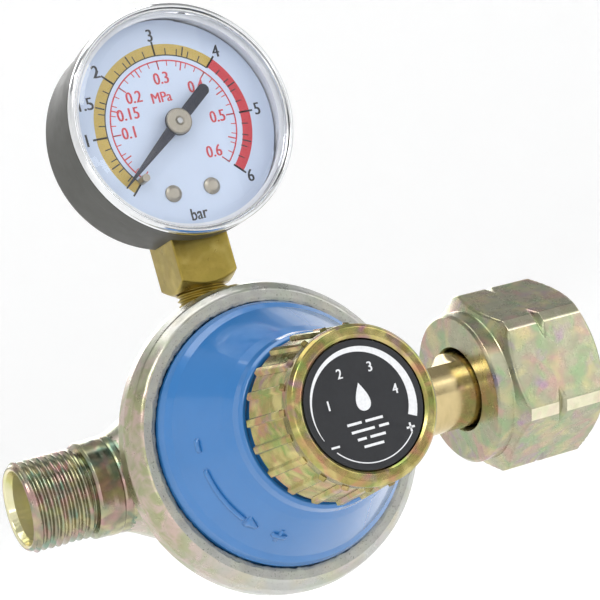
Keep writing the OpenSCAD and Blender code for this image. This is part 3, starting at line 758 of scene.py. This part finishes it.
def makeGauge(s):
    case, bezel, back, inner = s["caseR"], s["bezelR"], s["back"], s["caseR"] - s["wall"]
    shell = finer(soften([(0, back), (18.3, back, 1.6), (20.0, 7.4, 1.2), (case, 9.2, 1.2), (case, 23.1, 0.2),
                          (inner, 23.1, 0.15), (inner, 9.2, 1), (19.0, 7.8, 0.8), (18.2, 7.4, 0.5), (0, 7.4)]), 1.0)

    def inside(c):
        return 1 if math.hypot(c.x - knobX, c.z - gaugeZ) < (case - 0.4) * mm and -c.y > 9.5 * mm else 0

    def sleeve(c):
        return 1 if -c.y < 24.15 * mm and math.hypot(c.x - knobX, c.z - gaugeZ) > (case + 0.1) * mm else 0

    settle(keep("gaugeCase", spun(shell, onGaugeAxis, 192), caseGrey, palePaint, pick=inside), "regulator",
           "case_grey", "gauge_case")
    ring = finer(soften([(case + 0.03, 19.6, 0.1), (bezel - 0.25, 19.6, 0.25), (bezel - 0.02, 20.1, 0.3),
                         (bezel - 0.02, 24.0, 0.1), (bezel - 0.12, 24.1, 0.1), (bezel - 0.04, 24.3, 0.15),
                         (bezel - 0.05, 25.3, 0.5), (bezel - 0.6, 25.75, 0.4), (20.3, 25.7, 0.3),
                         (20.0, 25.2, 0.15), (19.75, 25.25, 0.1), (19.7, 23.8, 0.1), (case + 0.03, 23.72, 0.1)],
                         True), 0.6)
    settle(keep("gaugeBezel", spun(ring, onGaugeAxis, 192, None, True), bezelMetal, caseGrey, pick=sleeve),
           "regulator", "bezel_chrome", "gauge_bezel")
    pane = finer(soften([(0, 23.85), (19.0, 23.85, 0.1), (19.62, 23.9, 0.1), (19.62, 24.9, 0.3), (18.6, 25.5, 0.8),
                         (17.5, 25.95, 0.5), (0, 25.98)]), 2)
    settle(keep("gaugeWindow", spun(pane, onGaugeAxis, 160), windowGlass.mat), "regulator", "window_clear",
           "gauge_window")


makeGauge(gaugeSizes)

dialSizes = {
    "front": 20.1, "inkHigh": 0.002, "bandOuter": 15.1, "bandInner": 13.1, "innerR": 12.0, "first": 45.0,
    "sweep": 270.0, "most": 6.0,
    "numberR": 16.75, "numberSize": 3.25, "numbers": (1, 1.5, 2, 3, 4, 5, 6), "innerNumberR": 8.7,
    "innerNumbers": (0.1, 0.15, 0.2, 0.3, 0.4, 0.5, 0.6),
    "innerNumberSize": 3.1,
    # words, size, across and up from the pointer's axis
    "units": (("MPa", 2.75, -1.0, 5.3), ("bar", 2.9, 0, -16.6)),
    # rings of ticks: how many, parts of a unit between them, outer radius, length, width
    "blackTicks": ((7, 1, 15.7, 2.7, 0.34), (13, 2, 14.9, 1.7, 0.26), (31, 5, 14.3, 1.2, 0.2)),
    "redTicks": ((13, 2, 12.1, 1.7, 0.24), (31, 5, 12.1, 1.1, 0.17)),
    "rivetsAt": ((-3.8, -12.2), (3.8, -12.2)),
}
inkThick = 0.02


def dialPlace(x, z, f):
    return Vector((knobX + x * mm, -f * mm, gaugeZ + z * mm))


def arcBand(r0, r1, angle0, angle1, f):
    mesh, rows = bmesh.new(), []
    steps = max(8, int(abs(angle1 - angle0) / 2))
    for k in range(steps + 1):
        a = math.radians(270 - (angle0 + (angle1 - angle0) * k / steps))
        corners = ((r0, f), (r1, f), (r1, f + inkThick), (r0, f + inkThick))
        rows.append([mesh.verts.new(dialPlace(r * math.cos(a), r * math.sin(a), h)) for r, h in corners])
    return girder(mesh, rows)


# flat letters, made bolder by two copies set a little apart
def words(text, size, x, z, f, squeeze, bold=0.022):
    curve = bpy.data.curves.new("words", "FONT")
    curve.body, curve.size, curve.extrude, curve.resolution_u = text, size, 0.01, 3
    curve.align_x = curve.align_y = "CENTER"
    thing = bpy.data.objects.new("words", curve)
    bpy.context.scene.collection.objects.link(thing)
    bpy.context.view_layer.update()
    data = bpy.data.meshes.new_from_object(thing.evaluated_get(bpy.context.evaluated_depsgraph_get()))
    copies = []
    for side in (-1, 1):
        mesh = bmesh.new()
        mesh.from_mesh(data)
        for v in mesh.verts:
            high = f + v.co.z + 0.01 + 0.002 * side
            v.co = dialPlace(x + v.co.x * squeeze + side * bold * size, z + v.co.y, high)
        bmesh.ops.remove_doubles(mesh, verts=mesh.verts, dist=1e-7)
        copies.append(mesh)
    bpy.data.objects.remove(thing)
    bpy.data.curves.remove(curve)
    bpy.data.meshes.remove(data)
    return join(copies)


def nodeInputs(modifier, values):
    for item in modifier.node_group.interface.items_tree:
        if item.item_type == "SOCKET" and item.in_out == "INPUT" and item.name in values:
            modifier[item.identifier] = values[item.name]


def tickTree():
    tree = bpy.data.node_groups.new("dialTicks", "GeometryNodeTree")
    face = tree.interface
    for name, kind in (("count", "Int"), ("radius", "Float"), ("first", "Float"), ("step", "Float"),
                       ("size", "Vector"), ("middle", "Vector"), ("ink", "Material")):
        face.new_socket(name, in_out="INPUT", socket_type="NodeSocket" + kind)
    face.new_socket("mesh", in_out="OUTPUT", socket_type="NodeSocketGeometry")
    link = tree.links.new

    def new(kind, operation=None):
        node = tree.nodes.new(kind)
        if operation:
            node.operation = operation
        return node

    given, out = new("NodeGroupInput"), new("NodeGroupOutput")
    line, index = new("GeometryNodeMeshLine"), new("GeometryNodeInputIndex")
    times, plus = new("ShaderNodeMath", "MULTIPLY"), new("ShaderNodeMath", "ADD")
    link(given.outputs["count"], line.inputs["Count"])
    line.inputs["Offset"].default_value = (0, 0, 0)
    link(index.outputs[0], times.inputs[0])
    link(given.outputs["step"], times.inputs[1])
    link(times.outputs[0], plus.inputs[0])
    link(given.outputs["first"], plus.inputs[1])
    turn = new("ShaderNodeCombineXYZ")
    link(plus.outputs[0], turn.inputs["Y"])
    cube = new("GeometryNodeMeshCube")
    link(given.outputs["size"], cube.inputs["Size"])
    shift, reach = new("GeometryNodeTransform"), new("ShaderNodeCombineXYZ")
    link(given.outputs["radius"], reach.inputs["Z"])
    link(reach.outputs[0], shift.inputs["Translation"])
    link(cube.outputs["Mesh"], shift.inputs["Geometry"])
    spread = new("GeometryNodeInstanceOnPoints")
    link(line.outputs[0], spread.inputs["Points"])
    link(shift.outputs[0], spread.inputs["Instance"])
    link(turn.outputs[0], spread.inputs["Rotation"])
    real, move = new("GeometryNodeRealizeInstances"), new("GeometryNodeTransform")
    paint = new("GeometryNodeSetMaterial")
    link(spread.outputs[0], real.inputs[0])
    link(real.outputs[0], move.inputs["Geometry"])
    link(given.outputs["middle"], move.inputs["Translation"])
    link(move.outputs[0], paint.inputs["Geometry"])
    link(given.outputs["ink"], paint.inputs["Material"])
    link(paint.outputs[0], out.inputs[0])
    return tree


ticks = tickTree()


def ringOfTicks(count, radius, length, width, first, step, f, ink):
    holder = keep("tickHolder", bmesh.new())
    ring = holder.modifiers.new("ticks", "NODES")
    ring.node_group = ticks
    nodeInputs(ring, {"count": count, "radius": (radius - length / 2) * mm, "first": math.radians(first),
                      "step": math.radians(step), "size": (width * mm, inkThick * mm, length * mm),
                      "middle": (knobX, -(f + inkThick / 2) * mm, gaugeZ), "ink": ink})
    baked(holder)
    mesh = bmesh.new()
    mesh.from_mesh(holder.data)
    bpy.data.objects.remove(holder)
    return mesh


def makeDial(s):
    f = s["front"]
    plate = spun(soften([(1.5, 19.6, 0.05), (19.45, 19.6, 0.1), (19.5, 19.85, 0.1), (19.45, f, 0.1),
                         (1.5, f, 0.05)], True), onGaugeAxis, 128, None, True)
    settle(keep("dialPlate", plate, dialPaint), "regulator", "dial_white", "dial_plate")
    perUnit = s["sweep"] / s["most"]

    def at(value):                # clockwise from straight down
        return s["first"] + value * perUnit

    # a positive turn about Y is clockwise from the front, and 0 points up
    def tickRings(rings, high, ink):
        return [ringOfTicks(count, r, long, wide, at(0) - 180, perUnit / parts, high, ink)
                for count, parts, r, long, wide in rings]

    def numbers(values, scale, size, r):
        turns = [math.radians(270 - at(n * scale)) for n in values]
        return [words("%g" % n, size, r * math.cos(a), r * math.sin(a), ink, 0.82) for n, a in zip(values, turns)]

    ink, inner, outer = f + s["inkHigh"], s["bandInner"], s["bandOuter"]
    yellow = arcBand(inner, outer, at(0), at(4), ink)
    black = tickRings(s["blackTicks"], ink + 0.024, dialBlack)
    black += [arcBand(inner - 0.20, inner + 0.02, at(0), at(4), ink + 0.005)]
    red = [arcBand(inner + 0.1, outer, at(4), at(6), ink),
           arcBand(s["innerR"] - 0.12, s["innerR"] + 0.14, at(0), at(6), ink)]
    red += tickRings(s["redTicks"], ink, dialRed)
    black += numbers(s["numbers"], 1, s["numberSize"], s["numberR"])
    red += numbers(s["innerNumbers"], 10, s["innerNumberSize"], s["innerNumberR"])
    for marks, (unit, size, x, z) in zip((red, black), s["units"]):
        marks.append(words(unit, size, x, z, ink, 0.85))
    settle(keep("dialYellowBand", yellow, dialYellow, smooth=False), "regulator", "dial_white")
    settle(keep("dialBlackMarks", join(black), dialBlack, smooth=False), "regulator", "dial_white")
    settle(keep("dialRedMarks", join(red), dialRed, smooth=False), "regulator", "dial_white")
    rivets = []
    for x, z in s["rivetsAt"]:
        def place(r, a, h):
            return dialPlace(x + r * math.cos(a), z + r * math.sin(a), h)

        rivets.append(spun(soften([(0, 16.45), (0.8, 16.45, 0.1), (0.8, f + 0.01, 0.05), (1.55, f + 0.02, 0.1),
                                   (1.55, f + 0.3, 0.3), (0.9, f + 0.75, 0.5), (0, f + 0.82)]), place, 40))
    settle(keep("dialRivets", join(rivets), rivetMetal), "regulator", "rivet_metal", "dial_rivets")


makeDial(dialSizes)

pointerSizes = {"rest": 52.5, "tip": 16.2, "tail": 8.0, "hubR": 2.5, "low": 22.0, "high": 22.4, "tipHalf": 0.12,
                "waist": (1.02, -2.2), "tailHalf": 1.08, "tailEndR": 1.12}


def makePointer(s):
    side = [(s["tipHalf"], -s["tip"]), s["waist"], (s["tailHalf"], s["tail"])]
    end = [(s["tailEndR"] * math.cos(t), s["tail"] + s["tailEndR"] * math.sin(t))
           for t in [math.pi * k / 14 for k in range(1, 14)]]
    outline = side + end + [(-x, z) for x, z in reversed(side)]
    spin = Matrix.Rotation(math.radians(-s["rest"]), 2)
    mesh = bmesh.new()
    bottom = mesh.faces.new([mesh.verts.new(dialPlace(*(spin @ Vector(p)), s["low"])) for p in outline])
    top = bmesh.ops.extrude_face_region(mesh, geom=[bottom])
    for v in [g for g in top["geom"] if isinstance(g, bmesh.types.BMVert)]:
        v.co.y -= (s["high"] - s["low"]) * mm
    bmesh.ops.recalc_face_normals(mesh, faces=mesh.faces)
    rims = [e for e in mesh.edges if abs(e.verts[0].co.y - e.verts[1].co.y) < 1e-7]
    bmesh.ops.bevel(mesh, geom=rims, offset=0.07 * mm, segments=2, affect="EDGES")
    hub = spun(soften([(0.56, s["low"]), (s["hubR"], s["low"], 0.1), (s["hubR"], s["high"] + 0.01, 0.1),
                       (0.56, s["high"] + 0.01)], True), onGaugeAxis, 64, None, True)
    settle(keep("pointer", join([mesh, hub]), pointerPaint), "pointer_set", "pointer_black", "pointer")
    cap = spun(soften([(0.52, 22.42), (2.4, 22.42, 0.1), (2.4, 22.85, 0.2), (2.1, 23.08, 0.2), (0.9, 23.12, 0.15),
                       (0.6, 22.9, 0.1), (0.52, 22.9)], True), onGaugeAxis, 64, None, True)
    settle(keep("pointerCap", cap, rivetMetal), "pointer_set", "rivet_metal", "pointer_cap")


makePointer(pointerSizes)
print("gauge ready")


# label

labelSizes = {
    "front": 62.1, "r": 10.5, "arcInner": 7.9, "arcOuter": 9.4, "numberR": 6.2, "dashHigh": 0.42, "dropPoints": 40,
    # the plus at the right and the minus at the left: place, length and width of the strokes
    "signAt": (6.9, -5.4), "signSize": (1.5, 0.34),
    # short bars in rows: middle, height, width
    "dashes": ((-2.6, -2.6, 2.6), (1.0, -2.6, 3.2), (-1.4, -3.9, 4.2), (2.4, -3.9, 1.8), (-2.0, -5.2, 1.6),
               (0.9, -5.2, 2.8), (-0.2, -6.5, 3.6)),
}


# carries letters made for the dial down to the knob's face
def onLabel(mesh, f):
    for v in mesh.verts:
        v.co.z -= gaugeZ
        v.co.y -= f * mm
    return mesh


def makeLabel(s):
    f = s["front"]
    disc = spun(soften([(0, f - 0.78), (s["r"], f - 0.78, 0.1), (s["r"], f, 0.12), (0, f)]), onKnobAxis, 96)
    settle(keep("labelDisc", disc, blackPrint), "knob_set", "label_black", "label_disc")
    top = f + 0.004

    def spot(x, z, h):
        return Vector((knobX + x * mm, -h * mm, z * mm))

    def bar(x, z, wide, high):
        block = bmesh.new()
        bmesh.ops.create_cube(block, size=1)
        for v in block.verts:
            v.co = spot(x + v.co.x * wide, z + v.co.z * high, top + (v.co.y + 0.5) * inkThick)
        return block

    # an arc that may widen from its outer edge inwards
    def strip(inner, outer, start, end, grow):
        ribbon, rows, steps = bmesh.new(), [], 60
        for k in range(steps + 1):
            a = math.radians(start + (end - start) * k / steps)
            low = outer - (outer - inner) * (k / steps if grow else 1) - 0.08
            corners = ((low, top), (outer, top), (outer, top + inkThick), (low, top + inkThick))
            rows.append([ribbon.verts.new(spot(r * math.cos(a), r * math.sin(a), h)) for r, h in corners])
        return girder(ribbon, rows)

    (x, z), long, wide = s["signAt"], *s["signSize"]
    marks = [strip(s["arcInner"], s["arcOuter"], 205, -25, True),
             strip(s["arcOuter"] - 0.1, s["arcOuter"], 318, 222, False)]
    marks += [bar(-x, z, long, wide), bar(x, z, long, wide), bar(x, z, wide, long)]
    for k in range(4):
        a = math.radians(170 - k * 160 / 3)
        number = words(str(k + 1), 2.3, s["numberR"] * math.cos(a), s["numberR"] * math.sin(a), 0, 0.85)
        marks.append(onLabel(number, top))
    marks += [bar(x, z, wide, s["dashHigh"]) for x, z, wide in s["dashes"]]
    # a plain drop in the middle
    drop, edge = bmesh.new(), []
    for k in range(s["dropPoints"]):
        t = tau * k / s["dropPoints"]
        wide = 1.75 * math.sin(t) * math.sin(t / 2) ** 1.3
        edge.append(drop.verts.new(spot(wide, 1.3 + 2.3 * math.cos(t), top + inkThick)))
    drop.faces.new(edge)
    bottom = bmesh.ops.extrude_face_region(drop, geom=drop.faces[:])
    for v in [g for g in bottom["geom"] if isinstance(g, bmesh.types.BMVert)]:
        v.co.y += inkThick * mm
    bmesh.ops.recalc_face_normals(drop, faces=drop.faces)
    marks.append(drop)
    settle(keep("labelMarks", join(marks), whitePrint, smooth=False), "knob_set", "label_black")


makeLabel(labelSizes)
print("label ready")


# CAD pieces that are shown with their own shape

shown = (
    (steel, ("knob_pin", "lever_pin", "stem_nut", "movement_screws", "main_spring", "hairspring", "pointer_shaft")),
    (platedSteel, ("adjusting_spindle", "spring_button", "diaphragm_plate", "support_washer")),
    (rubber, ("diaphragm", "seat_pad", "inlet_seal", "blowout_plug")),
    (palePaint, ("window_gasket",)),
    (turnedBrass, ("diaphragm_stem", "valve_lever", "inlet_nozzle", "inlet_filter", "front_plate", "back_plate",
                   "plate_pillars", "sector_gear", "tip_link", "bourdon_tube")),
    (copper, ("nipple_gasket",)),
    (rivetMetal, ("stop_pin",)),
)
for finish, names in shown:
    for name in names:
        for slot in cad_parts[name].material_slots:
            slot.material = finish
print("pieces from the CAD finished")
